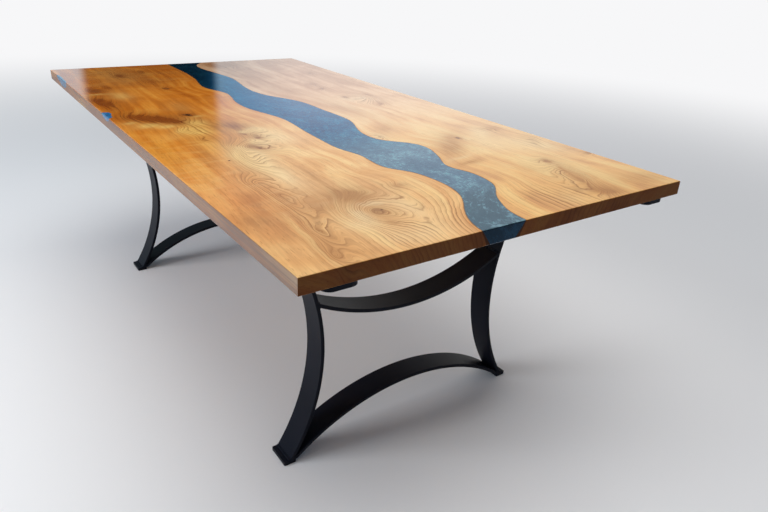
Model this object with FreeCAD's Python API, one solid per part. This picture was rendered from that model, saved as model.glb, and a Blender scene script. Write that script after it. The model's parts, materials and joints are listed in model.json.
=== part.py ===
import FreeCAD, Part
import math
import os

# Dining table: two timber slabs joined by a cast resin river, on a welded flat-bar base.
# Millimetres. Origin on the floor under the middle of the top.
# X runs across the table, Y along it from the near end to the far end, Z up.

# Top
table_length = 2100.0
table_width = 1080.0
table_height = 750.0
top_thickness = 36.0
top_edge_round = 2.5

# Resin river: each bank slopes in under the resin by this much through the thickness.
bank_lean = 26.0

# Bank lines on the top face, from the near end to the far end.
# First the share of the length from the near end, then the share of the width from the middle.
left_bank_shares = (
    (-0.020, -0.124),
    (0.004, -0.123),
    (0.026, -0.110),
    (0.050, -0.082),
    (0.074, -0.046),
    (0.103, -0.021),
    (0.145, -0.017),
    (0.176, -0.032),
    (0.200, -0.061),
    (0.258, -0.063),
    (0.290, -0.077),
    (0.340, -0.079),
    (0.400, -0.072),
    (0.475, -0.065),
    (0.508, -0.078),
    (0.545, -0.096),
    (0.615, -0.093),
    (0.680, -0.073),
    (0.730, -0.100),
    (0.800, -0.083),
    (0.865, -0.067),
    (0.960, -0.065),
    (1.020, -0.062),
)
right_bank_shares = (
    (-0.020, -0.013),
    (0.004, -0.012),
    (0.024, -0.008),
    (0.046, 0.010),
    (0.068, 0.036),
    (0.090, 0.073),
    (0.115, 0.089),
    (0.145, 0.088),
    (0.170, 0.075),
    (0.200, 0.096),
    (0.230, 0.121),
    (0.258, 0.130),
    (0.280, 0.112),
    (0.308, 0.065),
    (0.345, 0.056),
    (0.375, 0.072),
    (0.412, 0.100),
    (0.450, 0.107),
    (0.505, 0.101),
    (0.555, 0.098),
    (0.590, 0.079),
    (0.630, 0.041),
    (0.685, 0.023),
    (0.750, 0.039),
    (0.812, 0.051),
    (0.870, 0.038),
    (0.925, 0.024),
    (0.968, 0.034),
    (1.000, 0.078),
    (1.020, 0.118),
)

# Two small resin-filled hollows that break out through the left long edge.
# place is the share of the table's length, from the near end.
edge_pocket_place_share = 0.588
edge_pocket_length = 92.0
edge_pocket_reach = 24.0
edge_pocket_depth = 13.0
corner_pocket_place_share = 0.9
corner_pocket_length = 190.0
corner_pocket_reach = 9.0
corner_pocket_depth = 27.0

# Broken outline of a hollow from above: shares of its length, then of its reach into the slab.
pocket_plan_shares = (
    (-0.50, -0.60),
    (-0.47, 0.16),
    (-0.32, 0.60),
    (-0.04, 0.72),
    (0.20, 1.00),
    (0.40, 0.84),
    (0.48, 0.20),
    (0.50, -0.60),
)

# The same hollow from the side: shares of its length, then of its depth below the top face.
pocket_side_shares = (
    (-0.50, -0.25),
    (-0.46, 0.48),
    (-0.31, 0.94),
    (-0.10, 1.00),
    (0.14, 0.72),
    (0.38, 0.40),
    (0.50, -0.25),
)

# Flat bar that the whole base is made of.
bar_width = 75.0
bar_thickness = 10.0
bar_edge_chamfer = 1.0

# Rails under the top: distance of each rail's outer edge from the long edge, and of its ends from the ends.
rail_edge_inset = 52.5
rail_end_inset = 2.0
rail_end_round = 20.0

# Leg frames
leg_setback = 390.0
foot_inset = 156.0
head_inset = 13.0
side_bow = 118.0
upper_stretcher_height = 385.0
upper_stretcher_sag = 67.0
lower_stretcher_spring = 2.0
lower_stretcher_rise = 130.0

# Foot plates, measured from the outer face of the side bar where it lands.
foot_thickness = 10.0
foot_outer_reach = 16.0
foot_inner_reach = 18.0
foot_corner_chamfer = 2.0

# Fasteners along each rail: hex bolts with wide washers into threaded inserts.
bolt_place_shares = (0.07, 0.5, 0.93)
bolt_diameter = 8.0
bolt_head_across_flats = 13.0
bolt_head_height = 5.3
washer_diameter = 24.0
washer_thickness = 2.0
washer_clearance = 0.4
insert_diameter = 12.0
insert_length = 20.0
insert_fit = 0.05
insert_hole_spare = 3.0
thread_clearance = 0.1
bolt_end_spare = 4.0
slot_clearance = 1.0
slot_travel = 12.0

# How far cutting shapes run past what they cut.
overrun = 20.0

# Levels and places that follow from the sizes above.
underside = table_height - top_thickness
rail_bottom = underside - bar_thickness
rail_offset = table_width / 2 - rail_edge_inset - bar_width / 2
head_half = rail_offset - head_inset
foot_half = table_width / 2 - foot_inset
leg_offset = table_length / 2 - leg_setback

side_names = {"left": -1, "right": 1}
end_names = {"near": -1, "far": 1}


def along(share):
    """Place on the table's length for a share of it measured from the near end."""
    return (share - 0.5) * table_length


def mirrored(shape):
    """The same shape on the other side of the table's long middle plane."""
    return shape.mirror(FreeCAD.Vector(0, 0, 0), FreeCAD.Vector(1, 0, 0))


def spline(points):
    """One smooth curve through the points."""
    curve = Part.BSplineCurve()
    curve.interpolate(points)
    return curve.toShape()


def block(low, high):
    """Box between two opposite corners."""
    size = high - low
    return Part.makeBox(size.x, size.y, size.z, low)


def prism(points, travel):
    """Solid swept by a flat closed outline."""
    return Part.Face(Part.makePolygon(points + points[:1])).extrude(travel)


def top_blank():
    """The whole top before it is divided: a board with softly eased edges."""
    half = FreeCAD.Vector(table_width / 2, table_length / 2, 0)
    low = FreeCAD.Vector(-half.x, -half.y, underside)
    high = FreeCAD.Vector(half.x, half.y, table_height)
    board = block(low, high)
    level_edges = [edge for edge in board.Edges if edge.BoundBox.ZLength < top_edge_round]
    return board.makeFillet(top_edge_round, level_edges)


def river_outline(level):
    """Closed outline of the river at one level; the banks close in as they go down."""
    depth_share = (table_height - level) / top_thickness
    shift = bank_lean * depth_share
    left = [FreeCAD.Vector(v * table_width + shift, along(u), level) for u, v in left_bank_shares]
    right = [FreeCAD.Vector(v * table_width - shift, along(u), level) for u, v in right_bank_shares]
    near_line = Part.makeLine(right[0], left[0])
    far_line = Part.makeLine(left[-1], right[-1])
    return Part.Wire([near_line, spline(left), far_line, spline(right[::-1])])


def river_body():
    """Solid between the two sloping banks, past the top face, the underside and both ends."""
    lift = top_edge_round
    outlines = [river_outline(underside - lift), river_outline(table_height + lift)]
    return Part.makeLoft(outlines, True, True)


def pocket_body(place_share, length, reach, depth):
    """Fill of a hollow in the left edge: its outline from above, cut to its outline from the side."""
    edge = -table_width / 2
    middle = along(place_share)
    plan = []
    for u, v in pocket_plan_shares:
        plan.append(FreeCAD.Vector(edge + v * reach, middle + u * length, table_height - depth))
    side = []
    for u, w in pocket_side_shares:
        side.append(FreeCAD.Vector(edge - overrun, middle + u * length, table_height - w * depth))
    from_above = prism(plan, FreeCAD.Vector(0, 0, depth + overrun))
    from_side = prism(side, FreeCAD.Vector(reach + 2 * overrun, 0, 0))
    return from_above.common(from_side)


def bolt_places(side):
    """Bolt axes along one rail, on the underside of the top."""
    return [FreeCAD.Vector(side * rail_offset, along(u), underside) for u in bolt_place_shares]


def upright(radius, height, base):
    """Upright cylinder."""
    return Part.makeCylinder(radius, height, base)


def insert_holes(side):
    """Blind holes in the underside for the inserts of one rail."""
    radius = insert_diameter / 2 + insert_fit
    depth = insert_length + insert_hole_spare
    return [upright(radius, depth, place) for place in bolt_places(side)]


def top_pieces():
    """The two slabs, the river between them and the resin in the two edge hollows."""
    board = top_blank()
    river = river_body()
    slabs = sorted(board.cut(river).Solids, key=lambda solid: solid.CenterOfMass.x)
    left_slab, right_slab = slabs
    pieces = {"resin_river": board.common(river)}
    pockets = {
        "resin_edge_pocket": pocket_body(
            edge_pocket_place_share, edge_pocket_length, edge_pocket_reach, edge_pocket_depth),
        "resin_corner_pocket": pocket_body(
            corner_pocket_place_share, corner_pocket_length, corner_pocket_reach, corner_pocket_depth),
    }
    for name, fill in pockets.items():
        pieces[name] = left_slab.common(fill)
        left_slab = left_slab.cut(fill)
    pieces["slab_left"] = left_slab.cut(insert_holes(side_names["left"]))
    pieces["slab_right"] = right_slab.cut(insert_holes(side_names["right"]))
    return pieces


def rail(side):
    """Flat bar along the underside, round-cornered, with cross slots that let the timber move."""
    half_width = bar_width / 2
    half_length = table_length / 2 - rail_end_inset
    low = FreeCAD.Vector(side * rail_offset - half_width, -half_length, rail_bottom)
    high = FreeCAD.Vector(side * rail_offset + half_width, half_length, underside)
    bar = block(low, high)
    corners = [edge for edge in bar.Edges if edge.BoundBox.ZLength > bar_thickness / 2]
    bar = bar.makeFillet(rail_end_round, corners)
    return bar.cut([rail_slot(place) for place in bolt_places(side)])


def rail_slot(place):
    """Round-ended slot across the rail, through its thickness."""
    radius = (bolt_diameter + slot_clearance) / 2
    half_travel = FreeCAD.Vector(slot_travel / 2, 0, 0)
    floor = place - FreeCAD.Vector(0, 0, bar_thickness + overrun)
    height = bar_thickness + 2 * overrun
    side_step = FreeCAD.Vector(0, radius, 0)
    middle = Part.makeBox(slot_travel, 2 * radius, height, floor - half_travel - side_step)
    ends = [upright(radius, height, floor + step) for step in (half_travel, half_travel * -1)]
    return middle.fuse(ends).removeSplitter()


def bent_bar(centre_x, centre_z, inner_radius):
    """Flat bar rolled the easy way into a full ring about an axis along Y."""
    outer_radius = inner_radius + bar_thickness
    half = bar_width / 2
    cut = bar_edge_chamfer
    section = [
        (inner_radius, half - cut),
        (inner_radius + cut, half),
        (outer_radius - cut, half),
        (outer_radius, half - cut),
        (outer_radius, cut - half),
        (outer_radius - cut, -half),
        (inner_radius + cut, -half),
        (inner_radius, cut - half),
    ]
    points = [FreeCAD.Vector(centre_x + r, y, centre_z) for r, y in section]
    face = Part.Face(Part.makePolygon(points + points[:1]))
    axis_point = FreeCAD.Vector(centre_x, 0, centre_z)
    return face.revolve(axis_point, FreeCAD.Vector(0, 1, 0), 360)


def side_arc():
    """Centre and radius of the right side bar's outer face, bowed in between foot and head."""
    foot = FreeCAD.Vector(foot_half, 0, foot_thickness)
    head = FreeCAD.Vector(head_half, 0, rail_bottom)
    chord = head - foot
    radius = (chord.Length ** 2 / 4 + side_bow ** 2) / (2 * side_bow)
    outward = FreeCAD.Vector(chord.z, 0, -chord.x).normalize()
    centre = (foot + head) * 0.5 + outward * (radius - side_bow)
    return centre, radius


def side_bar():
    """Right side bar of a leg, cut level at the foot plate and at the rail."""
    centre, radius = side_arc()
    ring = bent_bar(centre.x, centre.z, radius)
    low = FreeCAD.Vector(0, -bar_width, foot_thickness)
    high = FreeCAD.Vector(centre.x, bar_width, rail_bottom)
    return ring.common(block(low, high))


def upper_stretcher(side_bars):
    """Sagging bar between the side bars, its ends shaped to their inner faces."""
    centre, radius = side_arc()
    half_span = centre.x - radius - bar_thickness
    inner_radius = (half_span ** 2 + upper_stretcher_sag ** 2) / (2 * upper_stretcher_sag)
    ring = bent_bar(0, upper_stretcher_height + inner_radius, inner_radius)
    pieces = ring.cut(side_bars).Solids
    return min(pieces, key=lambda solid: solid.CenterOfMass.z)


def lower_stretcher(side_bars):
    """Arched bar that springs from the feet, its ends shaped to the side bars and foot plates."""
    half_span = foot_half - bar_thickness
    outer_radius = (half_span ** 2 + lower_stretcher_rise ** 2) / (2 * lower_stretcher_rise)
    crown = foot_thickness + lower_stretcher_spring + lower_stretcher_rise
    ring = bent_bar(0, crown - outer_radius, outer_radius - bar_thickness)
    low = FreeCAD.Vector(-foot_half, -bar_width, foot_thickness)
    high = FreeCAD.Vector(foot_half, bar_width, crown + overrun)
    pieces = ring.common(block(low, high)).cut(side_bars).Solids
    return max(pieces, key=lambda solid: solid.Volume)


def foot_plate():
    """Flat plate under the right side bar."""
    low = FreeCAD.Vector(foot_half - foot_inner_reach, -bar_width / 2, 0)
    high = FreeCAD.Vector(foot_half + foot_outer_reach, bar_width / 2, foot_thickness)
    plate = block(low, high)
    corners = [edge for edge in plate.Edges if edge.BoundBox.ZLength > foot_thickness / 2]
    return plate.makeChamfer(foot_corner_chamfer, corners)


def leg_pieces():
    """Both leg frames, each bar and plate a separate piece."""
    right_bar = side_bar()
    bars = [mirrored(right_bar), right_bar]
    plate = foot_plate()
    frame = {
        "side_bar_left": bars[0],
        "side_bar_right": bars[1],
        "upper_stretcher": upper_stretcher(bars),
        "lower_stretcher": lower_stretcher(bars),
        "foot_plate_left": mirrored(plate),
        "foot_plate_right": plate,
    }
    pieces = {}
    for end, sign in end_names.items():
        for name, shape in frame.items():
            pieces[end + "_" + name] = shape.translated(FreeCAD.Vector(0, sign * leg_offset, 0))
    return pieces


def threaded_insert(place):
    """Plain sleeve with the thread's bore, set flush in the underside."""
    sleeve = upright(insert_diameter / 2, insert_length, place)
    return sleeve.cut(upright(bolt_diameter / 2 + thread_clearance, insert_length, place))


def washer(place):
    """Wide washer against the rail's lower face."""
    base = place - FreeCAD.Vector(0, 0, bar_thickness + washer_thickness)
    disc = upright(washer_diameter / 2, washer_thickness, base)
    return disc.cut(upright(bolt_diameter / 2 + washer_clearance, washer_thickness, base))


def hex_bolt(place):
    """Hex-head bolt pointing up through washer and rail into the insert."""
    seat = place - FreeCAD.Vector(0, 0, bar_thickness + washer_thickness)
    corner_radius = bolt_head_across_flats / 2 / math.cos(math.pi / 6)
    corners = []
    for turn in range(7):
        angle = turn * math.pi / 3
        step = FreeCAD.Vector(math.cos(angle), math.sin(angle), 0) * corner_radius
        corners.append(seat + step - FreeCAD.Vector(0, 0, bolt_head_height))
    head = Part.Face(Part.makePolygon(corners)).extrude(FreeCAD.Vector(0, 0, bolt_head_height))
    length = washer_thickness + bar_thickness + insert_length - bolt_end_spare
    shank = upright(bolt_diameter / 2, length, seat)
    return head.fuse(shank).removeSplitter()


def fasteners():
    """Groups of identical fasteners, one solid for each place."""
    places = bolt_places(side_names["left"]) + bolt_places(side_names["right"])
    makers = {"threaded_inserts": threaded_insert, "rail_washers": washer, "rail_bolts": hex_bolt}
    return {name: Part.makeCompound([make(place) for place in places]) for name, make in makers.items()}


def all_pieces():
    """Every piece of the table by its name."""
    pieces = top_pieces()
    for side, sign in side_names.items():
        pieces["rail_" + side] = rail(sign)
    pieces.update(leg_pieces())
    pieces.update(fasteners())
    return pieces


os.makedirs("parts", exist_ok=True)
for piece_name, piece_shape in all_pieces().items():
    piece_shape.exportStep("parts/" + piece_name + ".step")
    print(piece_name, len(piece_shape.Solids), piece_shape.isValid(), round(piece_shape.Volume))
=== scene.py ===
import json
import math
from collections import namedtuple

import bmesh
import bpy
from mathutils import Matrix, Vector


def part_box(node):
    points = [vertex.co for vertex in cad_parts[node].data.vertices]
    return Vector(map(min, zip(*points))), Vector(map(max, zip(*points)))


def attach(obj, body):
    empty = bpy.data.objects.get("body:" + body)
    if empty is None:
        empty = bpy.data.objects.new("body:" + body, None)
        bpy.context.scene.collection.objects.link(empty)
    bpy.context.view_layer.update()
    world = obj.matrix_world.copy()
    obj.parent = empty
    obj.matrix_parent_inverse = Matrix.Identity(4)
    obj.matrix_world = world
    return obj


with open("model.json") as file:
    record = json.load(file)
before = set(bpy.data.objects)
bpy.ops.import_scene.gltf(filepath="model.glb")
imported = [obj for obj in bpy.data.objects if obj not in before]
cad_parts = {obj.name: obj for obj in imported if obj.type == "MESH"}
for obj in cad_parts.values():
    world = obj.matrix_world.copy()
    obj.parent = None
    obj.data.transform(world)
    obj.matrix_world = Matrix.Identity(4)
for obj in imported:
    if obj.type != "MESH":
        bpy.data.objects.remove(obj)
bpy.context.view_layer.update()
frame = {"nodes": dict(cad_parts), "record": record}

# Places on the table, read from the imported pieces, in metres
left_low, left_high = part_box("slab_left")
top_face = left_high.z
near_end = left_low.y
far_end = left_high.y
top_length = far_end - near_end

# Where the photograph was taken from, in metres, degrees and its own pixels
camera_place = Vector((-0.9708, -1.8745, 1.2279))
camera_yaw = 36.103
camera_pitch = 25.096
camera_roll = 2.953
focal_length_pixels = 641.26
photo_width_pixels = 768
sensor_width = 36.0

# How squarely a face looks sideways or endways before it counts as a side or an end
slant_face = 0.6
square_face = 0.9

# How much less lacquer and polish the sawn ends of the top carry
end_dulling = 0.75


def paint(red, green, blue):
    """A colour as the shaders take it, in linear light."""
    return (red, green, blue, 1.0)


def grey(level):
    """A neutral colour, in linear light."""
    return paint(level, level, level)


class Mixture:
    """A node tree being mixed, with a short word for each kind of node."""

    def __init__(self, tree):
        self.tree = tree

    def node(self, kind, **settings):
        made = self.tree.nodes.new(kind)
        for setting, value in settings.items():
            setattr(made, setting, value)
        return made

    def feed(self, socket, value):
        if isinstance(value, bpy.types.NodeSocket):
            self.tree.links.new(value, socket)
        else:
            socket.default_value = value

    def math(self, operation, *values):
        made = self.node("ShaderNodeMath", operation=operation)
        for socket, value in zip(made.inputs, values):
            self.feed(socket, value)
        return made.outputs["Value"]

    def plus(self, first, second):
        return self.math("ADD", first, second)

    def minus(self, first, second):
        return self.math("SUBTRACT", first, second)

    def times(self, first, second):
        return self.math("MULTIPLY", first, second)

    def times_plus(self, first, second, third):
        return self.math("MULTIPLY_ADD", first, second, third)

    def between(self, value, low, high):
        """0 at low and 1 at high, with a soft start and stop."""
        made = self.node("ShaderNodeMapRange", interpolation_type="SMOOTHSTEP")
        self.feed(made.inputs["Value"], value)
        self.feed(made.inputs["From Min"], low)
        self.feed(made.inputs["From Max"], high)
        return made.outputs["Result"]

    def place(self):
        return self.node("ShaderNodeTexCoord").outputs["Object"]

    def facing(self):
        return self.node("ShaderNodeTexCoord").outputs["Normal"]

    def face_shares(self):
        """How far a surface faces sideways and how far endways, from 0 to 1."""
        side, end, level = self.split(self.facing())
        slopes = (self.math("ABSOLUTE", face) for face in (side, end))
        return [self.between(slope, slant_face, square_face) for slope in slopes]

    def split(self, vector):
        made = self.node("ShaderNodeSeparateXYZ")
        self.feed(made.inputs["Vector"], vector)
        return made.outputs

    def join(self, across, along, up):
        made = self.node("ShaderNodeCombineXYZ")
        for socket, value in zip(made.inputs, (across, along, up)):
            self.feed(socket, value)
        return made.outputs["Vector"]

    def vector(self, operation, first, second):
        made = self.node("ShaderNodeVectorMath", operation=operation)
        self.feed(made.inputs[0], first)
        self.feed(made.inputs[1], second)
        return made.outputs["Value" if operation in ("DOT_PRODUCT", "LENGTH") else "Vector"]

    def noise(self, place, stretch, detail=2.0, distortion=0.0, output="Fac"):
        """Soft noise with so many waves per metre across, along and up."""
        made = self.node("ShaderNodeTexNoise")
        self.feed(made.inputs["Vector"], self.vector("MULTIPLY", place, stretch))
        made.inputs["Scale"].default_value = 1.0
        made.inputs["Detail"].default_value = detail
        made.inputs["Distortion"].default_value = distortion
        return made.outputs[output]

    def chance(self, number):
        made = self.node("ShaderNodeTexWhiteNoise", noise_dimensions="1D")
        self.feed(made.inputs["W"], number)
        return made.outputs["Value"]

    def ramp(self, value, *stops):
        """Colours at places from 0 to 1, as (place, colour)."""
        made = self.node("ShaderNodeValToRGB")
        self.feed(made.inputs["Fac"], value)
        spots = made.color_ramp.elements
        while len(spots) < len(stops):
            spots.new(1.0)
        for spot, (position, colour) in zip(spots, stops):
            spot.position = position
            spot.color = colour
        return made.outputs["Color"]

    def blend(self, share, first, second, style="MIX"):
        made = self.node("ShaderNodeMix", data_type="RGBA", blend_type=style)
        factor, first_socket, second_socket = made.inputs[0], made.inputs[6], made.inputs[7]
        self.feed(factor, share)
        self.feed(first_socket, first)
        self.feed(second_socket, second)
        return made.outputs[2]

    def course(self, along, line):
        """How far across a line on the top lies, at each place along it."""
        low = min(point.across for point in line)
        high = max(point.across for point in line)
        share = self.math("DIVIDE", self.minus(along, near_end), top_length)
        made = self.node("ShaderNodeFloatCurve")
        self.feed(made.inputs["Value"], share)
        curve = made.mapping.curves[0]
        shares = [((p.along - near_end) / top_length, (p.across - low) / (high - low)) for p in line]
        curve.points[0].location = shares[0]
        curve.points[1].location = shares[-1]
        for position, value in shares[1:-1]:
            curve.points.new(position, value)
        made.mapping.update()
        return self.times_plus(made.outputs["Value"], high - low, low)


class Finish(Mixture):
    """A material for some of the table's pieces."""

    def __init__(self, name, **sockets):
        self.material = bpy.data.materials.new(name)
        self.material.use_nodes = True
        super().__init__(self.material.node_tree)
        self.shader = self.tree.nodes["Principled BSDF"]
        for socket, value in sockets.items():
            self.set(socket.replace("_", " "), value)

    def set(self, socket, value):
        self.feed(self.shader.inputs[socket], value)

    def bump(self, height, distance, strength):
        made = self.node("ShaderNodeBump")
        self.feed(made.inputs["Height"], height)
        made.inputs["Distance"].default_value = distance
        made.inputs["Strength"].default_value = strength
        self.set("Normal", made.outputs["Normal"])


# The live edges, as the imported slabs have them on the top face
BankPoint = namedtuple("BankPoint", "along across")
bank_reach = 0.3
bank_samples = 96
level_tolerance = 0.0001
place_digits = 5


def live_edge(node):
    """Points along a slab's live edge, from the near end to the far end, evenly spaced."""
    found = set()
    for vertex in frame["nodes"][node].data.vertices:
        on_top = abs(vertex.co.z - top_face) < level_tolerance
        if on_top and abs(vertex.co.x) < bank_reach:
            found.add((round(vertex.co.y, place_digits), round(vertex.co.x, place_digits)))
    corners = sorted(found)
    points = []
    following = 1
    for step in range(bank_samples + 1):
        along = near_end + top_length * step / bank_samples
        while following < len(corners) - 1 and corners[following][0] < along:
            following += 1
        (start, start_across), (stop, stop_across) = corners[following - 1], corners[following]
        share = min(max((along - start) / (stop - start), 0.0), 1.0)
        points.append(BankPoint(along, start_across + share * (stop_across - start_across)))
    return points


left_bank = live_edge("slab_left")
right_bank = live_edge("slab_right")
river_middle = [
    BankPoint(left.along, (left.across + right.across) / 2)
    for left, right in zip(left_bank, right_bank)
]

# Knots and stains of the two slabs: where each lies, its half sizes and its turn in degrees.
# Swell lifts the growth rings round it, dark and pale tint it, and core is its dark heart.
Figure = namedtuple("Figure", "across along half_width half_length turn swell dark pale core")
left_figures = (
    Figure(-0.258, -0.872, 0.070, 0.088, 8, 0.165, 0.00, 0.00, 0.0),
    Figure(-0.253, -0.868, 0.034, 0.038, 0, 0.000, 0.55, 0.00, 0.7),
    Figure(-0.242, -0.862, 0.007, 0.007, 0, 0.000, 0.00, 0.00, 1.3),
    Figure(-0.246, -0.820, 0.036, 0.018, -10, 0.000, 0.00, 1.10, 0.0),
    Figure(-0.298, -0.866, 0.018, 0.040, 0, 0.000, 0.00, 0.95, 0.0),
    Figure(-0.322, -0.912, 0.054, 0.064, 0, 0.000, 0.00, 0.60, 0.0),
    Figure(-0.185, -0.880, 0.050, 0.120, 0, 0.000, 0.00, 0.60, 0.0),
    Figure(-0.240, -1.000, 0.080, 0.060, 0, 0.000, 0.00, 0.50, 0.0),
    Figure(-0.262, -0.932, 0.020, 0.026, 0, 0.000, 0.40, 0.00, 0.0),
    Figure(-0.258, -0.755, 0.084, 0.074, -15, 0.000, 1.05, 0.00, 0.0),
    Figure(-0.350, -0.805, 0.056, 0.064, 0, 0.000, 0.38, 0.00, 0.0),
    Figure(-0.150, -0.930, 0.090, 0.130, 0, 0.002, 0.00, 0.00, 0.0),
    Figure(-0.300, -0.995, 0.045, 0.050, 0, 0.010, 0.00, 0.25, 0.0),
    Figure(-0.389, -0.715, 0.036, 0.130, 0, 0.080, 0.12, 0.00, 0.0),
    Figure(-0.394, -0.700, 0.007, 0.050, 0, 0.000, 0.35, 0.00, 0.0),
    Figure(-0.412, -0.900, 0.026, 0.095, -4, 0.055, 0.16, 0.00, 0.0),
    Figure(-0.410, -0.890, 0.006, 0.045, 0, 0.000, 0.40, 0.00, 0.0),
    Figure(-0.444, -1.005, 0.020, 0.065, 0, 0.040, 0.40, 0.00, 0.0),
    Figure(-0.450, -0.970, 0.120, 0.120, 0, 0.000, 0.32, 0.00, 0.0),
    Figure(-0.402, -0.595, 0.028, 0.065, 10, 0.045, 0.08, 0.00, 0.0),
    Figure(-0.490, -0.800, 0.062, 0.062, 0, 0.000, 0.52, 0.00, 0.0),
    Figure(-0.328, -0.560, 0.046, 0.150, 0, 0.000, 0.00, 0.85, 0.0),
    Figure(-0.330, -0.400, 0.034, 0.125, -6, 0.080, 0.00, 0.30, 0.0),
    Figure(-0.330, -0.450, 0.046, 0.070, 0, 0.000, 0.00, 0.60, 0.0),
    Figure(-0.268, -0.625, 0.010, 0.090, -3, 0.000, 0.45, 0.00, 0.0),
    Figure(-0.120, -0.756, 0.030, 0.026, 0, 0.012, 0.45, 0.00, 0.3),
    Figure(-0.228, -0.207, 0.040, 0.050, 0, 0.080, 0.00, 0.00, 0.0),
    Figure(-0.228, -0.212, 0.024, 0.032, 0, 0.000, 0.40, 0.00, 0.3),
    Figure(-0.254, -0.186, 0.008, 0.014, 20, 0.000, 0.90, 0.00, 0.6),
    Figure(-0.231, -0.234, 0.010, 0.016, -20, 0.000, 0.90, 0.00, 0.6),
    Figure(-0.246, -0.160, 0.016, 0.018, 0, 0.000, 0.00, 1.20, 0.0),
    Figure(-0.204, -0.142, 0.032, 0.036, 0, 0.000, 0.00, 1.40, 0.0),
    Figure(-0.190, -0.235, 0.055, 0.110, 0, 0.000, 0.00, 0.85, 0.0),
    Figure(-0.275, -0.322, 0.055, 0.070, 15, 0.120, 0.00, 0.00, 0.0),
    Figure(-0.280, -0.312, 0.028, 0.034, 15, 0.000, 0.45, 0.00, 0.3),
    Figure(-0.267, -0.334, 0.012, 0.020, 15, 0.000, 0.90, 0.00, 0.9),
    Figure(-0.318, -0.326, 0.020, 0.030, 0, 0.000, 0.00, 1.20, 0.0),
    Figure(-0.250, -0.285, 0.030, 0.050, 0, 0.000, 0.00, 1.10, 0.0),
    Figure(-0.325, -0.378, 0.046, 0.050, 0, 0.000, 0.00, 1.20, 0.0),
    Figure(-0.375, -0.250, 0.060, 0.150, 0, 0.000, 0.00, 0.40, 0.0),
    Figure(-0.246, -0.086, 0.056, 0.070, 0, 0.000, 0.70, 0.00, 0.0),
    Figure(-0.388, -0.406, 0.006, 0.007, 0, 0.000, 0.30, 0.00, 1.3),
    Figure(-0.372, -0.190, 0.016, 0.026, 0, 0.016, 0.35, 0.00, 0.2),
    Figure(-0.318, 0.096, 0.023, 0.028, 15, 0.040, 0.45, 0.00, 2.4),
    Figure(-0.318, 0.097, 0.017, 0.021, 15, 0.000, 1.00, 0.00, 4.0),
    Figure(-0.298, 0.066, 0.030, 0.016, 0, 0.000, 0.00, 0.60, 0.0),
    Figure(-0.452, 0.118, 0.066, 0.100, 42, 0.030, 0.95, 0.00, 0.0),
    Figure(-0.412, 0.070, 0.044, 0.060, 38, 0.000, 0.70, 0.00, 0.0),
    Figure(-0.382, 0.030, 0.026, 0.040, 32, 0.030, 0.85, 0.00, 0.0),
    Figure(-0.455, 0.016, 0.036, 0.026, 20, 0.000, 0.00, 1.60, 0.0),
    Figure(-0.420, -0.018, 0.026, 0.018, 20, 0.000, 0.00, 1.00, 0.0),
    Figure(-0.390, -0.080, 0.026, 0.024, 20, 0.018, 0.00, 1.10, 0.0),
    Figure(-0.500, 0.060, 0.026, 0.024, 0, 0.000, 0.00, 0.75, 0.0),
    Figure(-0.330, -0.010, 0.050, 0.060, 0, 0.030, 0.00, 0.90, 0.0),
    Figure(-0.360, -0.100, 0.044, 0.050, 20, 0.016, 0.00, 1.10, 0.0),
    Figure(-0.440, -0.140, 0.050, 0.040, 30, 0.000, 0.00, 0.20, 0.0),
    Figure(-0.512, -0.290, 0.042, 0.230, 0, 0.000, 0.20, 0.00, 0.0),
    Figure(-0.502, 0.370, 0.036, 0.130, 8, 0.020, 0.95, 0.00, 0.0),
    Figure(-0.425, 0.450, 0.040, 0.090, 0, 0.000, 0.00, 0.60, 0.0),
    Figure(-0.430, 0.620, 0.030, 0.060, 0, 0.000, 0.50, 0.00, 0.0),
    Figure(-0.482, 0.570, 0.032, 0.060, 8, 0.045, 0.75, 0.00, 0.4),
    Figure(-0.490, 0.500, 0.040, 0.012, 0, 0.000, 0.00, 0.75, 0.0),
    Figure(-0.246, 0.526, 0.018, 0.036, 0, 0.035, 0.70, 0.00, 0.7),
    Figure(-0.250, 0.680, 0.090, 0.110, 0, 0.000, 0.42, 0.00, 0.0),
    Figure(-0.180, 0.860, 0.060, 0.120, 0, 0.000, 0.30, 0.00, 0.0),
    Figure(-0.330, 0.830, 0.028, 0.060, 0, 0.045, 0.45, 0.00, 0.3),
    Figure(-0.235, 0.880, 0.026, 0.056, 0, 0.040, 0.45, 0.00, 0.3),
    Figure(-0.345, 0.830, 0.100, 0.200, 0, 0.000, 0.42, 0.42, 0.0),
    Figure(-0.300, 0.220, 0.055, 0.120, 0, 0.000, 0.00, 0.22, 0.0),
    Figure(-0.505, 0.330, 0.040, 0.120, 0, 0.000, 0.24, 0.00, 0.0),
)
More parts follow.
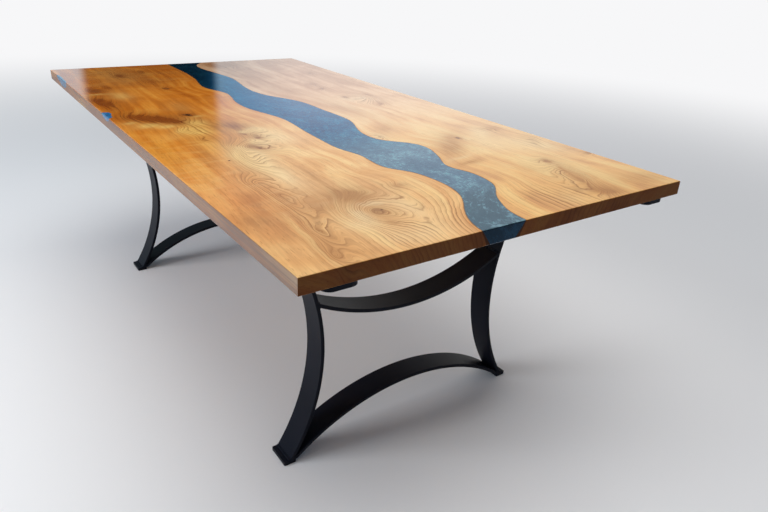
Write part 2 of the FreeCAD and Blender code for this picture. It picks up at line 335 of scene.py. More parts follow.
right_figures = (
    Figure(0.325, -0.888, 0.046, 0.120, -21, 0.125, 0.35, 0.00, 0.0),
    Figure(0.350, -0.768, 0.022, 0.024, 0, 0.030, 0.85, 0.00, 0.5),
    Figure(0.306, -0.930, 0.016, 0.056, -21, 0.000, 0.65, 0.00, 0.2),
    Figure(0.336, -0.850, 0.008, 0.050, -21, 0.000, 0.60, 0.00, 0.0),
    Figure(0.300, -1.012, 0.038, 0.038, 0, 0.020, 1.30, 0.00, 0.4),
    Figure(0.470, -0.990, 0.110, 0.070, 0, 0.000, 0.62, 0.00, 0.0),
    Figure(0.150, -0.980, 0.090, 0.080, 0, 0.002, 0.12, 0.00, 0.0),
    Figure(0.294, -0.486, 0.014, 0.017, 0, 0.024, 0.70, 0.00, 1.4),
    Figure(0.312, -0.500, 0.016, 0.016, 0, 0.000, 0.00, 0.70, 0.0),
    Figure(0.200, -0.555, 0.054, 0.120, -38, 0.000, 0.85, 0.00, 0.0),
    Figure(0.275, -0.470, 0.036, 0.080, -38, 0.000, 0.40, 0.00, 0.0),
    Figure(0.400, -0.460, 0.046, 0.110, -40, 0.000, 0.00, 0.80, 0.0),
    Figure(0.480, -0.665, 0.060, 0.080, 0, 0.000, 0.00, 0.60, 0.0),
    Figure(0.185, -1.010, 0.050, 0.050, 0, 0.000, 0.00, 0.50, 0.0),
    Figure(0.262, -0.800, 0.040, 0.070, 0, 0.000, 0.30, 0.00, 0.0),
    Figure(0.150, -0.300, 0.034, 0.070, -35, 0.000, 0.60, 0.00, 0.0),
    Figure(0.160, -0.690, 0.060, 0.016, 15, 0.000, 0.75, 0.00, 0.0),
    Figure(0.165, -0.644, 0.060, 0.013, 15, 0.000, 0.00, 0.75, 0.0),
    Figure(0.330, -0.580, 0.085, 0.120, 0, 0.000, 0.00, 0.55, 0.0),
    Figure(0.088, -0.370, 0.026, 0.036, 0, 0.040, 0.00, 1.00, 0.2),
    Figure(0.465, -0.440, 0.040, 0.036, 0, 0.012, 0.60, 0.00, 0.0),
    Figure(0.485, -0.600, 0.030, 0.060, -30, 0.020, 0.35, 0.40, 0.2),
    Figure(0.526, -0.768, 0.016, 0.022, 0, 0.030, 0.75, 0.00, 0.8),
    Figure(0.100, 0.960, 0.060, 0.130, 0, 0.000, 1.00, 0.00, 0.0),
    Figure(0.180, -0.010, 0.060, 0.190, 6, 0.000, 0.60, 0.00, 0.0),
    Figure(0.150, 0.330, 0.066, 0.180, 8, 0.000, 0.60, 0.00, 0.0),
    Figure(0.160, 0.640, 0.060, 0.150, 0, 0.000, 0.42, 0.00, 0.0),
    Figure(0.430, -0.600, 0.090, 0.120, 0, 0.000, 0.00, 0.50, 0.0),
    Figure(0.430, -0.050, 0.090, 0.200, 0, 0.000, 0.00, 0.35, 0.0),
    Figure(0.290, 0.325, 0.018, 0.036, -20, 0.030, 0.80, 0.00, 0.5),
    Figure(0.306, 0.410, 0.016, 0.052, -12, 0.020, 0.70, 0.00, 0.2),
    Figure(0.291, 0.153, 0.015, 0.020, 0, 0.020, 0.80, 0.00, 0.8),
    Figure(0.345, 0.110, 0.060, 0.090, 0, 0.085, 0.00, 0.45, 0.0),
    Figure(0.396, 0.155, 0.014, 0.050, 0, 0.016, 0.75, 0.00, 0.3),
    Figure(0.346, 0.002, 0.017, 0.032, -25, 0.020, 0.85, 0.00, 0.4),
    Figure(0.420, 0.640, 0.020, 0.050, -10, 0.030, 0.30, 0.00, 0.2),
    Figure(0.180, 0.900, 0.050, 0.070, 0, 0.030, 0.45, 0.00, 0.0),
)

# Growth rings and grain of the timber, with lengths in metres
ring_width = 0.0125
ring_start = 0.45
ring_unevenness = 0.026
ring_wobble = 0.008
fine_ring_width = 0.0036
weakest_ring = 0.42
ring_difference = 0.50
late_wood_rise = (
    (0.0, grey(0.0)), (0.40, grey(0.06)), (0.74, grey(0.42)), (0.90, grey(1.0)), (1.0, grey(0.0)))
swirl_reach = 1.7
swirl_gain = 1.7
core_reach = (0.40, 0.02)
grain_straight_from = 0.26
grain_wander = 0.060
grain_ripple = 0.006
grain_depth = 0.0004
ragged_reach = (0.028, 0.042, 0.0)
sap_reach = (0.013, 0.001)
bark_reach = (0.0008, -0.0016)
bark_raggedness = 0.005
bank_slope = math.tan(math.radians(26.0))

# Waves per metre of the timber's patterns, across, along and up
wander_waves = (1.7, 0.75, 1.7)
ripple_waves = (13.0, 3.6, 13.0)
ragged_waves = (17.0, 11.0, 17.0)
uneven_waves = (30.0, 1.0, 1.0)
wobble_waves = (46.0, 24.0, 46.0)
fading_waves = (58.0, 2.8, 30.0)
streak_waves = (46.0, 1.7, 12.0)
fibre_waves = (430.0, 13.0, 120.0)
pore_waves = (760.0, 34.0, 300.0)
slit_waves = (150.0, 14.0, 40.0)
tone_waves = (3.0, 1.5, 3.0)
cloud_waves = (13.0, 4.2, 9.0)
flame_waves = (5.0, 15.0, 5.0)
curl_waves = (12.0, 40.0, 12.0)
curl_patch_waves = (3.4, 2.4, 3.4)
stain_waves = (150.0, 9.0, 40.0)
rim_waves = (30.0, 14.0, 30.0)
vein_waves = (30.0, 3.2, 130.0)

# The value of its noise or line at which each pattern starts to show, and at which it is whole
fading_range = (0.34, 0.62)
fine_line_range = (0.40, 0.92)
pore_range = (0.62, 0.72)
slit_range = (0.40, 0.62)
flame_range = (0.42, 0.70)
curl_range = (0.45, 0.70)
curl_patch_range = (0.50, 0.64)
stain_range = (0.34, 0.64)
knot_black_range = (0.8, 1.3)
rim_range = (0.25, 0.75)
vein_range = (0.40, 0.60)

# Where along the top each change of tone starts, and where it is whole, in metres
far_darkening = (0.45, 0.85)
near_browning = (-0.60, -1.0)
# A painted sheen pales the sawn sides over this span, towards the far end
sawn_sheen_rise = (0.10, 0.50)

# How strongly each mark tints the timber
cloudy = 0.34
flame_share = 0.08
curl_share = 0.18
pore_share = 0.35
brown_share = 0.85
rim_share = 0.60
bark_share = 0.75
vein_share = 0.52
palest = 0.9
darkest_stain = 0.85
darkest_knot = 0.9
stain_evenness = 0.76
stain_streaks = 0.32
slit_share = 0.8
paling_unevenness = 0.3
fibre_shades = ((0.25, grey(0.82)), (0.75, grey(1.0)))

# Colours of the timber
late_brown = paint(0.24, 0.085, 0.017)
sap_orange = paint(0.60, 0.220, 0.036)
# Painted shade on the sawn sides, cool and dark at the near end, and a painted sheen that pales them at the
# far end
near_sawn_shade = paint(0.41, 0.40, 0.56)
far_sawn_sheen = paint(0.74, 0.88, 1.0)
vein_brown = paint(0.150, 0.082, 0.052)
near_brown = paint(0.97, 0.930, 0.840)
# End faces of the top: end grain's own darker tone together with painted shade
end_grain_and_shade = paint(0.22, 0.125, 0.065)
knot_brown = paint(0.260, 0.110, 0.034)
knot_black = paint(0.028, 0.012, 0.006)
bark_brown = paint(0.085, 0.036, 0.014)
tone_places = (0.42, 0.50, 0.59)
amber = (paint(0.52, 0.134, 0.008), paint(0.71, 0.212, 0.016), paint(0.87, 0.345, 0.045))
gold = (paint(0.69, 0.340, 0.118), paint(0.85, 0.455, 0.170), paint(0.97, 0.640, 0.275))
straw = (paint(0.71, 0.350, 0.132), paint(0.92, 0.530, 0.195), paint(0.98, 0.680, 0.290))
rose_straw = (paint(0.60, 0.310, 0.155), paint(0.81, 0.485, 0.275), paint(0.92, 0.625, 0.385))

# Each slab: how the grain follows its live edge, where the heart of the log lay, how its tones change
# from the far end to the near end and from the outer edge inwards, and how its streaks and rings show
Slab = namedtuple(
    "Slab",
    "bank inward pull heart_across heart_depth heart_climb far_tones near_tones middle climb inner far_dark "
    "far_cream near_cream far_smoke near_smoke streaky ring quiet fine figures")
left_slab = Slab(
    bank=left_bank, inward=-1.0, pull=0.9,
    heart_across=-0.606, heart_depth=0.13, heart_climb=0.05,
    far_tones=amber, near_tones=gold, middle=0.42, climb=1.22, inner=-2.1, far_dark=0.06,
    far_cream=paint(0.98, 0.600, 0.170), near_cream=paint(0.98, 0.750, 0.430),
    far_smoke=paint(0.215, 0.044, 0.006), near_smoke=paint(0.400, 0.170, 0.045),
    streaky=0.34, ring=1.15, quiet=0.11, fine=0.07, figures=left_figures)
right_slab = Slab(
    bank=right_bank, inward=1.0, pull=0.55,
    heart_across=0.63, heart_depth=0.16, heart_climb=0.04,
    far_tones=rose_straw, near_tones=straw, middle=0.23, climb=0.86, inner=0.0, far_dark=0.02,
    far_cream=paint(0.95, 0.650, 0.390), near_cream=paint(0.97, 0.710, 0.350),
    far_smoke=paint(0.460, 0.210, 0.085), near_smoke=paint(0.490, 0.210, 0.050),
    streaky=0.24, ring=1.30, quiet=0.08, fine=0.07, figures=right_figures)

Figured = namedtuple("Figured", "rings swirled dark pale core")


def log_rings(wood, slab, place, edge, inside):
    """Distance from the heart of the log, in grain that runs beside the live edge and straightens from it."""
    across, along, up = wood.split(place)
    edge_middle = sum(point.across for point in slab.bank) / len(slab.bank)
    follow = wood.times(wood.between(inside, grain_straight_from, 0.0), slab.pull)
    swing = wood.times(wood.minus(edge, edge_middle), follow)
    wander = wood.minus(wood.noise(place, wander_waves), 0.5)
    ripple = wood.minus(wood.noise(place, ripple_waves, 1.0), 0.5)
    straight = wood.minus(across, swing)
    straight = wood.times_plus(wander, grain_wander, straight)
    straight = wood.times_plus(ripple, grain_ripple, straight)
    from_heart = wood.minus(straight, slab.heart_across)
    depth = wood.minus(top_face, up)
    heart_height = wood.minus(slab.heart_depth, wood.times_plus(along, slab.heart_climb, depth))
    squared = wood.plus(wood.times(from_heart, from_heart), wood.times(heart_height, heart_height))
    return wood.math("SQRT", squared)


def knots_and_stains(wood, slab, place, rings):
    """The rings bent round the knots, and how swirled, dark, pale and knotty each place is."""
    ragged = wood.noise(place, ragged_waves, 3.0, output="Color")
    ragged = wood.vector("SUBTRACT", ragged, (0.5, 0.5, 0.5))
    ragged = wood.vector("MULTIPLY", ragged, ragged_reach)
    ragged_place = wood.vector("ADD", place, ragged)
    swirled = 0.0
    dark = 0.0
    pale = 0.0
    core = 0.0
    for figure in slab.figures:
        local = wood.node("ShaderNodeMapping", vector_type="TEXTURE")
        wood.feed(local.inputs["Vector"], ragged_place)
        local.inputs["Location"].default_value = (figure.across, figure.along, top_face)
        local.inputs["Rotation"].default_value = (0.0, 0.0, math.radians(figure.turn))
        local.inputs["Scale"].default_value = (figure.half_width, figure.half_length, 1.0)
        flat = wood.vector("MULTIPLY", local.outputs["Vector"], (1.0, 1.0, 0.0))
        reach = wood.vector("DOT_PRODUCT", flat, flat)
        near = wood.math("DIVIDE", 1.0, wood.plus(reach, 1.0))
        close = wood.times(near, near)
        if figure.swell:
            mound = wood.between(wood.math("SQRT", reach), swirl_reach, -swirl_reach)
            rings = wood.times_plus(mound, 2.0 * figure.swell, rings)
            swirled = wood.plus(close, swirled)
        if figure.dark:
            dark = wood.times_plus(close, figure.dark, dark)
        if figure.pale:
            pale = wood.times_plus(close, figure.pale, pale)
        if figure.core:
            core = wood.times_plus(wood.between(reach, *core_reach), figure.core, core)
    return Figured(rings, swirled, dark, pale, core)


def ring_lines(wood, slab, place, grain, figured):
    """Growth rings, each darkening slowly to its late wood, and the fine lines between them."""
    uneven = wood.noise(wood.join(figured.rings, 0.0, 0.0), uneven_waves, 2.0)
    rings = wood.times_plus(uneven, ring_unevenness, figured.rings)
    rings = wood.times_plus(wood.noise(place, wobble_waves, 2.0), ring_wobble, rings)
    count = wood.plus(wood.math("DIVIDE", rings, ring_width), ring_start)
    late_wood = wood.ramp(wood.math("FRACT", count), *late_wood_rise)
    strength = wood.times_plus(wood.chance(wood.math("FLOOR", count)), ring_difference, weakest_ring)
    fading = wood.between(wood.noise(grain, fading_waves, 1.0), *fading_range)
    swirled = wood.math("MINIMUM", wood.times(figured.swirled, swirl_gain), 1.0)
    swirled = wood.times(swirled, 1.0 - slab.quiet)
    strength = wood.times(strength, wood.times_plus(fading, slab.quiet, swirled))
    fine_count = wood.math("DIVIDE", rings, fine_ring_width)
    fine_line = wood.between(wood.math("FRACT", fine_count), *fine_line_range)
    fine_line = wood.times(fine_line, wood.chance(wood.math("FLOOR", fine_count)))
    return wood.times(late_wood, strength), fine_line


def timber(name, slab):
    """Lacquered slab timber whose grain follows the live edge and swirls round its knots."""
    wood = Finish(name, Roughness=0.5, Specular_IOR_Level=0.0, Coat_Roughness=0.07)
    place = wood.place()
    across, along, up = wood.split(place)

    # The live edge leans in under the top
    edge = wood.course(along, slab.bank)
    inside = wood.times(wood.minus(across, edge), slab.inward)
    inside = wood.times_plus(wood.minus(top_face, up), bank_slope, inside)

    # Streaks, fibres and pores follow the rings, and flame and curl cross them
    figured = knots_and_stains(wood, slab, place, log_rings(wood, slab, place, edge, inside))
    grain = wood.join(figured.rings, along, up)
    ring_line, fine_line = ring_lines(wood, slab, place, grain, figured)
    streak = wood.noise(grain, streak_waves, 4.0)
    fibre = wood.noise(grain, fibre_waves, 2.0)
    pore = wood.between(wood.noise(grain, pore_waves, 1.0), *pore_range)
    slit = wood.between(wood.noise(grain, slit_waves, 2.0), *slit_range)
    cloud = wood.noise(grain, cloud_waves, 3.0, 0.7)
    tone = wood.noise(place, tone_waves, 3.0)
    flame = wood.between(wood.noise(place, flame_waves, 2.0, 0.5), *flame_range)
    curl = wood.between(wood.noise(place, curl_waves, 1.0, 0.8), *curl_range)
    curl = wood.times(curl, wood.between(wood.noise(place, curl_patch_waves), *curl_patch_range))

    # The tones pale from the far end to the near end
    shade = wood.times_plus(cloud, cloudy, wood.times(tone, 1.0 - slab.streaky - cloudy))
    shade = wood.times_plus(streak, slab.streaky, shade)
    shade = wood.times_plus(wood.between(along, *far_darkening), -slab.far_dark, shade)
    paled = wood.times_plus(tone, paling_unevenness, wood.times_plus(along, -slab.climb, slab.middle))
    paled = wood.between(wood.times_plus(inside, slab.inner, paled), 0.0, 1.0)
    colour = wood.blend(
        paled,
        wood.ramp(shade, *zip(tone_places, slab.far_tones)),
        wood.ramp(shade, *zip(tone_places, slab.near_tones)))
    cream = wood.blend(paled, slab.far_cream, slab.near_cream)
    colour = wood.blend(wood.math("MINIMUM", figured.pale, palest), colour, cream)
    colour = wood.blend(wood.times(flame, flame_share), colour, cream)
    colour = wood.blend(wood.times(curl, curl_share), colour, cream)

    # Rings, stains, knots, pores and fibres
    colour = wood.blend(wood.times(fine_line, slab.fine), colour, late_brown)
    colour = wood.blend(wood.times(ring_line, slab.ring), colour, late_brown)
    stain = wood.between(wood.noise(grain, stain_waves, 3.0), *stain_range)
    stain = wood.times(figured.dark, wood.times_plus(stain, stain_streaks, stain_evenness))
    smoke = wood.blend(paled, slab.far_smoke, slab.near_smoke)
    colour = wood.blend(wood.math("MINIMUM", stain, darkest_stain), colour, smoke)
    core = wood.times(figured.core, wood.times_plus(slit, slit_share, 1.0 - slit_share))
    colour = wood.blend(wood.math("MINIMUM", core, darkest_knot), colour, knot_brown)
    black = wood.times(wood.between(core, *knot_black_range), darkest_knot)
    colour = wood.blend(black, colour, knot_black)
    colour = wood.blend(wood.times(pore, pore_share), colour, late_brown)
    colour = wood.blend(1.0, colour, wood.ramp(fibre, *fibre_shades), "MULTIPLY")

    # The near end is browner, and sapwood and bark line the live edge
    browned = wood.times(wood.between(along, *near_browning), brown_share)
    colour = wood.blend(browned, colour, near_brown, "MULTIPLY")
    rim_noise = wood.noise(place, rim_waves, 2.0)
    rim = wood.times(wood.between(inside, *sap_reach), wood.between(rim_noise, *rim_range))
    colour = wood.blend(wood.times(rim, rim_share), colour, sap_orange)
    bark = wood.between(wood.times_plus(rim_noise, -bark_raggedness, inside), *bark_reach)
    colour = wood.blend(wood.times(bark, bark_share), colour, bark_brown)

    # The sawn sides carry painted shade, paled towards the far end by a painted sheen, over their own veins,
    # and end grain drinks the lacquer and darkens, with painted shade on the end faces too
    side_share, end_share = wood.face_shares()
    vein = wood.between(wood.noise(place, vein_waves, 3.0, 0.4), *vein_range)
    # Painted shade near the near end and a painted sheen towards the far end tint the sawn sides
    sawn_shade_and_sheen = wood.blend(wood.between(along, *sawn_sheen_rise), near_sawn_shade, far_sawn_sheen)
    sawn = wood.blend(1.0, colour, sawn_shade_and_sheen, "MULTIPLY")
    sawn = wood.blend(wood.times(vein, vein_share), sawn, vein_brown)
    colour = wood.blend(side_share, colour, sawn)
    # The end faces are darkened by their own end grain and by painted shade
    wood.set("Base Color", wood.blend(end_share, colour, end_grain_and_shade, "MULTIPLY"))
    wood.set("Coat Weight", wood.times_plus(end_share, -end_dulling, 1.0))
    wood.bump(wood.minus(fibre, pore), grain_depth, strength=0.12)
    return wood.material


# Colours of the resin, and waves per metre of its drifts
far_river = (paint(0.006, 0.145, 0.235), paint(0.012, 0.235, 0.375), paint(0.090, 0.500, 0.630))
# The near end's paler colours are a painted pearl sheen on the same resin
near_river_sheen = (paint(0.110, 0.200, 0.290), paint(0.165, 0.275, 0.375), paint(0.310, 0.520, 0.600))
pigment_places = (0.37, 0.50, 0.66)
river_spark = paint(0.260, 0.540, 0.600)
river_silt = paint(0.064, 0.124, 0.152)
# Painted shade on the resin's end faces
river_end_shade = paint(0.05, 0.085, 0.135)
pearl_edge = paint(0.01, 0.37, 0.68)
pocket_deep = paint(0.004, 0.070, 0.210)
pocket_blue = paint(0.012, 0.200, 0.480)
pocket_haze = paint(0.110, 0.150, 0.200)
drift_waves = (15.0, 8.0, 15.0)
swirl_waves = (62.0, 44.0, 62.0)
mica_waves = (150.0, 105.0, 150.0)
pocket_waves = (60.0, 34.0, 60.0)

# Where along the top the resin changes, in metres, and at which value of its noise each drift shows
# Over this span the painted pearl sheen rises towards the near end
near_sheen_rise = (-0.20, -0.58)
silting = (-0.78, -0.92)
pocket_hazing = (0.60, 0.75)
mica_range = (0.56, 0.68)
spark_range = (0.36, 0.58)
silt_clearing = (0.48, 0.62)

# How much of each is in the resin
drift_share = 0.45
silt_share = 0.75
cleared_share = 0.55
haze_share = 0.55
far_pearl = 0.92
near_pearl = 0.45


def river_resin():
    """Polished pearl resin with drifts of mica pigment, a painted pearl sheen that pales it towards the near
    end, and painted shade on its end faces.
    """
    resin = Finish(
        "river_resin", Roughness=0.19, Specular_Tint=pearl_edge, Coat_Roughness=0.05, Coat_IOR=1.28)
    across, along, up = resin.split(resin.place())
    flow_across = resin.minus(across, resin.course(along, river_middle))
    flow = resin.join(flow_across, along, up)
    drift = resin.noise(flow, drift_waves, 5.0, 1.0)
    swirl = resin.noise(flow, swirl_waves, 4.0, 1.6)
    mica = resin.between(resin.noise(flow, mica_waves, 3.0, 0.5), *mica_range)
    pigment = resin.times_plus(drift, drift_share, resin.times(swirl, 1.0 - drift_share))
    # A painted pearl sheen pales the resin towards the near end, where it is also less metallic
    near_sheen = resin.between(along, *near_sheen_rise)
    colour = resin.blend(
        near_sheen,
        resin.ramp(pigment, *zip(pigment_places, far_river)),
        resin.ramp(pigment, *zip(pigment_places, near_river_sheen)))
    colour = resin.blend(resin.times(mica, resin.between(pigment, *spark_range)), colour, river_spark)
    silt = resin.times_plus(resin.between(pigment, *silt_clearing), -cleared_share, silt_share)
    colour = resin.blend(resin.times(silt, resin.between(along, *silting)), colour, river_silt)
    side_share, end_share = resin.face_shares()
    # Painted shade darkens the resin's end faces
    resin.set("Base Color", resin.blend(end_share, colour, river_end_shade, "MULTIPLY"))
    resin.set("Metallic", resin.times_plus(near_sheen, near_pearl - far_pearl, far_pearl))
    resin.set("Coat Weight", resin.times_plus(end_share, -end_dulling, 1.0))
    return resin.material


def pocket_resin():
    """The same resin where it is thin, and hazy near the far corner."""
    resin = Finish("pocket_resin", Roughness=0.45, Coat_Weight=1.0, Coat_Roughness=0.06)
    place = resin.place()
    across, along, up = resin.split(place)
    cloud = resin.noise(place, pocket_waves, 4.0, 1.0)
    colour = resin.ramp(cloud, (0.36, pocket_deep), (0.60, pocket_blue))
    hazy = resin.times(resin.between(along, *pocket_hazing), haze_share)
    resin.set("Base Color", resin.blend(hazy, colour, pocket_haze))
    return resin.material


# Colours of the metals, waves per metre of their marks, depths in metres, and how dull they are
coat_black = paint(0.0068, 0.0078, 0.0130)
coat_grey = paint(0.0102, 0.0114, 0.0182)
dull_brass = paint(0.50, 0.33, 0.12)
bright_brass = paint(0.72, 0.53, 0.25)
dull_zinc = paint(0.45, 0.46, 0.48)
bright_zinc = paint(0.66, 0.67, 0.70)
peel_waves = (520.0, 520.0, 520.0)
coat_cloud_waves = (9.0, 9.0, 9.0)
machining_waves = (240.0, 240.0, 2600.0)
peel_depth = 0.0003
marks_depth = 0.0001
coat_roughness = 0.32
coat_unevenness = 0.14
marks_roughness = 0.2


def powder_coat():
    """Satin black powder coat with its fine orange peel."""
    coat = Finish("black_powder_coat", Specular_IOR_Level=0.06)
    place = coat.place()
    peel = coat.noise(place, peel_waves, 2.0)
    cloud = coat.noise(place, coat_cloud_waves, 3.0)
    coat.set("Base Color", coat.ramp(cloud, (0.3, coat_black), (0.7, coat_grey)))
    coat.set("Roughness", coat.times_plus(cloud, coat_unevenness, coat_roughness))
    coat.bump(peel, peel_depth, strength=0.25)
    return coat.material


def plain_metal(name, dull, bright, roughness):
    """Turned or plated metal with fine machining marks."""
    metal = Finish(name, Metallic=1.0)
    marks = metal.noise(metal.place(), machining_waves, 3.0)
    metal.set("Base Color", metal.ramp(marks, (0.3, dull), (0.7, bright)))
    metal.set("Roughness", metal.times_plus(marks, marks_roughness, roughness))
    metal.bump(marks, marks_depth, strength=0.15)
    return metal.material


# Weld beads between the bars of each leg
bead_radius = 0.0034
bead_sides = 8
ripple_pitch = 0.0032
ripple_crest = 1.10
end_margin = 0.0015
end_reach = 0.006


def bar_end(node, side):
    """The corners of a bar's end on one side of the table, as (across, up)."""
    low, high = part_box(node)
    tip = high.x if side > 0 else low.x
    corners = []
    for vertex in frame["nodes"][node].data.vertices:
        if abs(vertex.co.x - tip) < end_reach:
            corners.append((vertex.co.x, vertex.co.z))
    return corners


def level_corners(node, height):
    """The leftmost and rightmost corners of a bar at a height, as (across, up)."""
    found = []
    for vertex in frame["nodes"][node].data.vertices:
        if abs(vertex.co.z - height) < level_tolerance:
            found.append(vertex.co.x)
    return (min(found), height), (max(found), height)


def weld_bead(beads, corner, start, stop):
    """One rippled bead along a corner between two bars."""
    across, up = corner
    ring = bmesh.ops.create_circle(beads, cap_ends=True, segments=bead_sides, radius=bead_radius)
    stand = Matrix.Translation((across, start, up)) @ Matrix.Rotation(math.radians(90.0), 4, "X")
    bmesh.ops.transform(beads, matrix=stand, verts=ring["verts"])
    tip = ring["verts"][0].link_faces[0]
    steps = 2 * round((stop - start) / ripple_pitch)
    for step in range(steps):
        grown = bmesh.ops.extrude_face_region(beads, geom=[tip])
        tip = next(part for part in grown["geom"] if isinstance(part, bmesh.types.BMFace))
        bmesh.ops.translate(beads, vec=(0.0, (stop - start) / steps, 0.0), verts=tip.verts)
        swell = ripple_crest if step % 2 == 0 else 1.0 / ripple_crest
        middle = tip.calc_center_median()
        bmesh.ops.scale(beads, vec=(swell, 1.0, swell), space=Matrix.Translation(-middle), verts=tip.verts)


def leg_welds(leg):
    """All the beads of one leg."""
    low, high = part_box(f"{leg}_side_bar_left")
    start = low.y + end_margin
    stop = high.y - end_margin
    corners = []
    for side, word in ((-1, "left"), (1, "right")):
        bar = f"{leg}_side_bar_{word}"
        foot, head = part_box(bar)
        foot_corners = level_corners(bar, foot.z)
        corners.append(foot_corners[0] if side < 0 else foot_corners[1])
        corners.extend(level_corners(bar, head.z))
        upper_end = bar_end(f"{leg}_upper_stretcher", side)
        corners.append(max(upper_end, key=lambda corner: corner[1]))
        corners.append(min(upper_end, key=lambda corner: corner[1]))
        lower_end = bar_end(f"{leg}_lower_stretcher", side)
        corners.append(max(lower_end, key=lambda corner: corner[1]))
    beads = bmesh.new()
    for corner in corners:
        weld_bead(beads, corner, start, stop)
    bmesh.ops.recalc_face_normals(beads, faces=beads.faces)
    mesh = bpy.data.meshes.new(f"{leg}_leg_welds")
    beads.to_mesh(mesh)
    beads.free()
    for face in mesh.polygons:
        face.use_smooth = True
    welds = bpy.data.objects.new(f"{leg}_leg_welds", mesh)
    bpy.context.scene.collection.objects.link(welds)
    return welds


def dress_pieces():
    """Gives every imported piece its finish, and welds the legs."""
    black = powder_coat()
    finishes = {
        "resin": river_resin(),
        "black_steel": black,
        "insert_brass": plain_metal("insert_brass", dull_brass, bright_brass, 0.25),
        "zinc_steel": plain_metal("zinc_plate", dull_zinc, bright_zinc, 0.22),
    }
    thin_resin = pocket_resin()
    own_finishes = {
        "slab_left": timber("left_slab_timber", left_slab),
        "slab_right": timber("right_slab_timber", right_slab),
        "resin_edge_pocket": thin_resin,
        "resin_corner_pocket": thin_resin,
    }
    for part in frame["record"]["subparts"]:
        node = part["node"]
        finish = own_finishes.get(node) or finishes[part["material_slot"]]
        for slot in frame["nodes"][node].material_slots:
            slot.material = finish
    for leg in ("near", "far"):
        welds = leg_welds(leg)
        welds.data.materials.append(black)
        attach(welds, "root")


# The studio: floor, lamps and surroundings
floor_reach = 40.0
floor_drop = 0.0002
floor_pale = paint(0.86, 0.86, 0.87)
far_white = paint(0.93, 0.93, 0.94)
haze_start = 1.3
haze_full = 7.0


def studio_floor():
    """A plain pale floor."""
    ground = bmesh.new()
    bmesh.ops.create_grid(ground, x_segments=1, y_segments=1, size=floor_reach)
    bmesh.ops.translate(ground, vec=(0.0, 0.0, -floor_drop), verts=ground.verts)
    mesh = bpy.data.meshes.new("floor")
    ground.to_mesh(mesh)
    ground.free()
    floor = bpy.data.objects.new("floor", mesh)
    bpy.context.scene.collection.objects.link(floor)
    finish = Finish("pale_floor", Base_Color=floor_pale, Roughness=0.42, Specular_IOR_Level=0.35)
    distance = finish.vector("LENGTH", finish.place(), (0.0, 0.0, 0.0))
    seen = finish.node("ShaderNodeLightPath").outputs["Is Camera Ray"]
    glow = finish.node("ShaderNodeEmission")
    glow.inputs["Color"].default_value = far_white
    haze = finish.node("ShaderNodeMixShader")
    finish.feed(haze.inputs[0], finish.times(seen, finish.between(distance, haze_start, haze_full)))
    finish.feed(haze.inputs[1], finish.shader.outputs["BSDF"])
    finish.feed(haze.inputs[2], glow.outputs["Emission"])
    finish.feed(finish.tree.nodes["Material Output"].inputs["Surface"], haze.outputs["Shader"])
    mesh.materials.append(finish.material)


def soft_lamp(name, place, aim, size, watts, colour):
    """A large square soft lamp that looks at a point, and doesn't show in reflections."""
    data = bpy.data.lights.new(name, "AREA")
    data.shape = "SQUARE"
    data.size = size
    data.energy = watts
    data.color = colour
    lamp = bpy.data.objects.new(name, data)
    lamp.location = place
    lamp.visible_glossy = False
    lamp.rotation_euler = (Vector(aim) - Vector(place)).to_track_quat("-Z", "Y").to_euler()
    bpy.context.scene.collection.objects.link(lamp)


# Light from around, and the walls by bearing in degrees, with heights as the rise of a ray.
# The walls that the eye sees are plain, and reflections show a dark wing behind the table.
fill_light = paint(0.70, 0.82, 1.0)
fill_strength = 0.26
wall_seen_left = paint(0.80, 0.84, 0.90)
wall_seen_right = paint(0.98, 0.95, 0.92)
wall_seen_turn = (0.0, 70.0)
mirror_walls = (
    (5.0, paint(0.42, 0.59, 0.70)), (8.0, paint(0.56, 0.84, 0.98)),
    (22.0, paint(0.42, 0.59, 0.70)), (24.0, paint(0.56, 0.68, 0.78)), (28.0, paint(0.89, 0.91, 0.95)),
    (36.0, paint(1.0, 1.0, 1.0)), (42.0, paint(0.95, 0.95, 0.96)),
    (50.0, paint(0.88, 0.88, 0.88)), (62.0, paint(0.68, 0.66, 0.62)))
front_dim = paint(0.10, 0.10, 0.11)
wall_above = paint(0.50, 0.48, 0.46)
wing_dark = paint(0.004, 0.005, 0.008)
wing_edges = (10.2, 11.0, 20.5, 21.4)
wing_soft_edges = (9.0, 12.0, 19.5, 22.3)
wing_softening = (0.20, 0.32)
wing_top = (0.37, 0.29)
wall_dimming = (0.20, 0.31)
front_from = (0.1, -0.6)
quarter_turn = 90.0


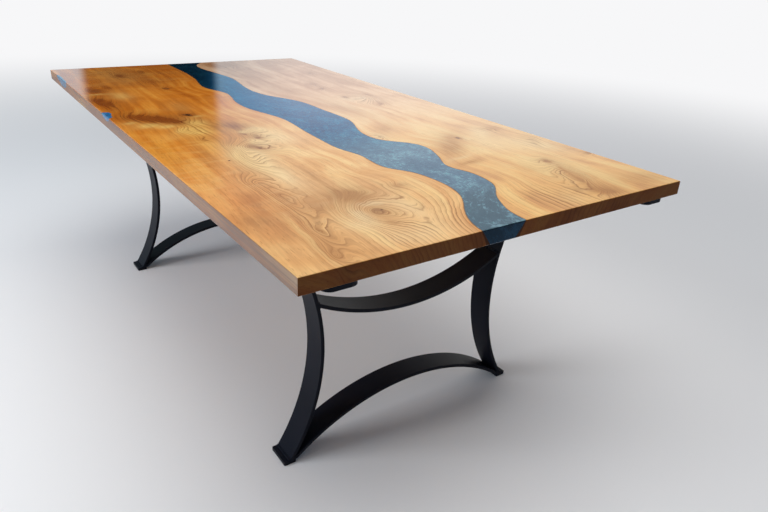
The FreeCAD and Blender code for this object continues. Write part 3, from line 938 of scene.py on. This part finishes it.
def studio_surroundings():
    """Pale walls for the eye and for reflections, with a dark wing behind, and a weaker fill of light."""
    world = bpy.data.worlds.new("studio")
    world.use_nodes = True
    bpy.context.scene.world = world
    room = Mixture(world.node_tree)
    ray = room.node("ShaderNodeLightPath").outputs
    east, north, up = room.split(room.node("ShaderNodeTexCoord").outputs["Generated"])
    bearing = room.math("DEGREES", room.math("ARCTAN2", east, north))
    walls = room.blend(room.between(bearing, *wall_seen_turn), wall_seen_left, wall_seen_right)
    turned = room.math("DIVIDE", bearing, quarter_turn)
    mirrored = room.ramp(turned, *((degrees / quarter_turn, colour) for degrees, colour in mirror_walls))
    wing, soft_wing = (
        room.times(room.between(bearing, start, left), room.between(bearing, stop, right))
        for start, left, right, stop in (wing_edges, wing_soft_edges))
    wing = room.times_plus(room.minus(soft_wing, wing), room.between(up, *wing_softening), wing)
    wing = room.times(wing, room.between(up, *wing_top))
    mirrored = room.blend(room.between(up, *wall_dimming), mirrored, wall_above, "MULTIPLY")
    mirrored = room.blend(room.between(north, *front_from), mirrored, front_dim)
    mirrored = room.blend(wing, mirrored, wing_dark)
    seen = room.blend(ray["Is Camera Ray"], mirrored, walls)
    shown = room.math("MAXIMUM", ray["Is Camera Ray"], ray["Is Glossy Ray"])
    shown = room.math("MAXIMUM", shown, ray["Is Transmission Ray"])
    background = world.node_tree.nodes["Background"]
    room.feed(background.inputs["Color"], room.blend(shown, fill_light, seen))
    room.feed(background.inputs["Strength"], room.times_plus(shown, 1.0 - fill_strength, fill_strength))


def studio_camera():
    """The camera where the photograph was taken."""
    yaw = math.radians(camera_yaw)
    pitch = math.radians(camera_pitch)
    roll = math.radians(camera_roll)
    ahead = Vector((math.sin(yaw) * math.cos(pitch), math.cos(yaw) * math.cos(pitch), -math.sin(pitch)))
    level = Vector((math.cos(yaw), -math.sin(yaw), 0.0))
    rise = level.cross(ahead)
    right = math.cos(roll) * level + math.sin(roll) * rise
    above = math.cos(roll) * rise - math.sin(roll) * level
    data = bpy.data.cameras.new("camera")
    data.sensor_width = sensor_width
    data.lens = sensor_width * focal_length_pixels / photo_width_pixels
    camera = bpy.data.objects.new("camera", data)
    turn = Matrix((right, above, -ahead)).transposed()
    camera.matrix_world = Matrix.Translation(camera_place) @ turn.to_4x4()
    bpy.context.scene.collection.objects.link(camera)
    bpy.context.scene.camera = camera


dress_pieces()
studio_floor()
soft_lamp(
    "ceiling_lamp", place=(0.0, -0.4, 3.6), aim=(0.1, -0.1, 0.4),
    size=3.4, watts=100.0, colour=(1.0, 0.96, 0.90))
soft_lamp(
    "window_lamp", place=(-4.8, 1.0, 2.6), aim=(-2.2, 0.8, 0.0),
    size=2.6, watts=160.0, colour=(0.92, 0.96, 1.0))
studio_surroundings()
studio_camera()
bpy.context.scene.view_settings.view_transform = "Standard"
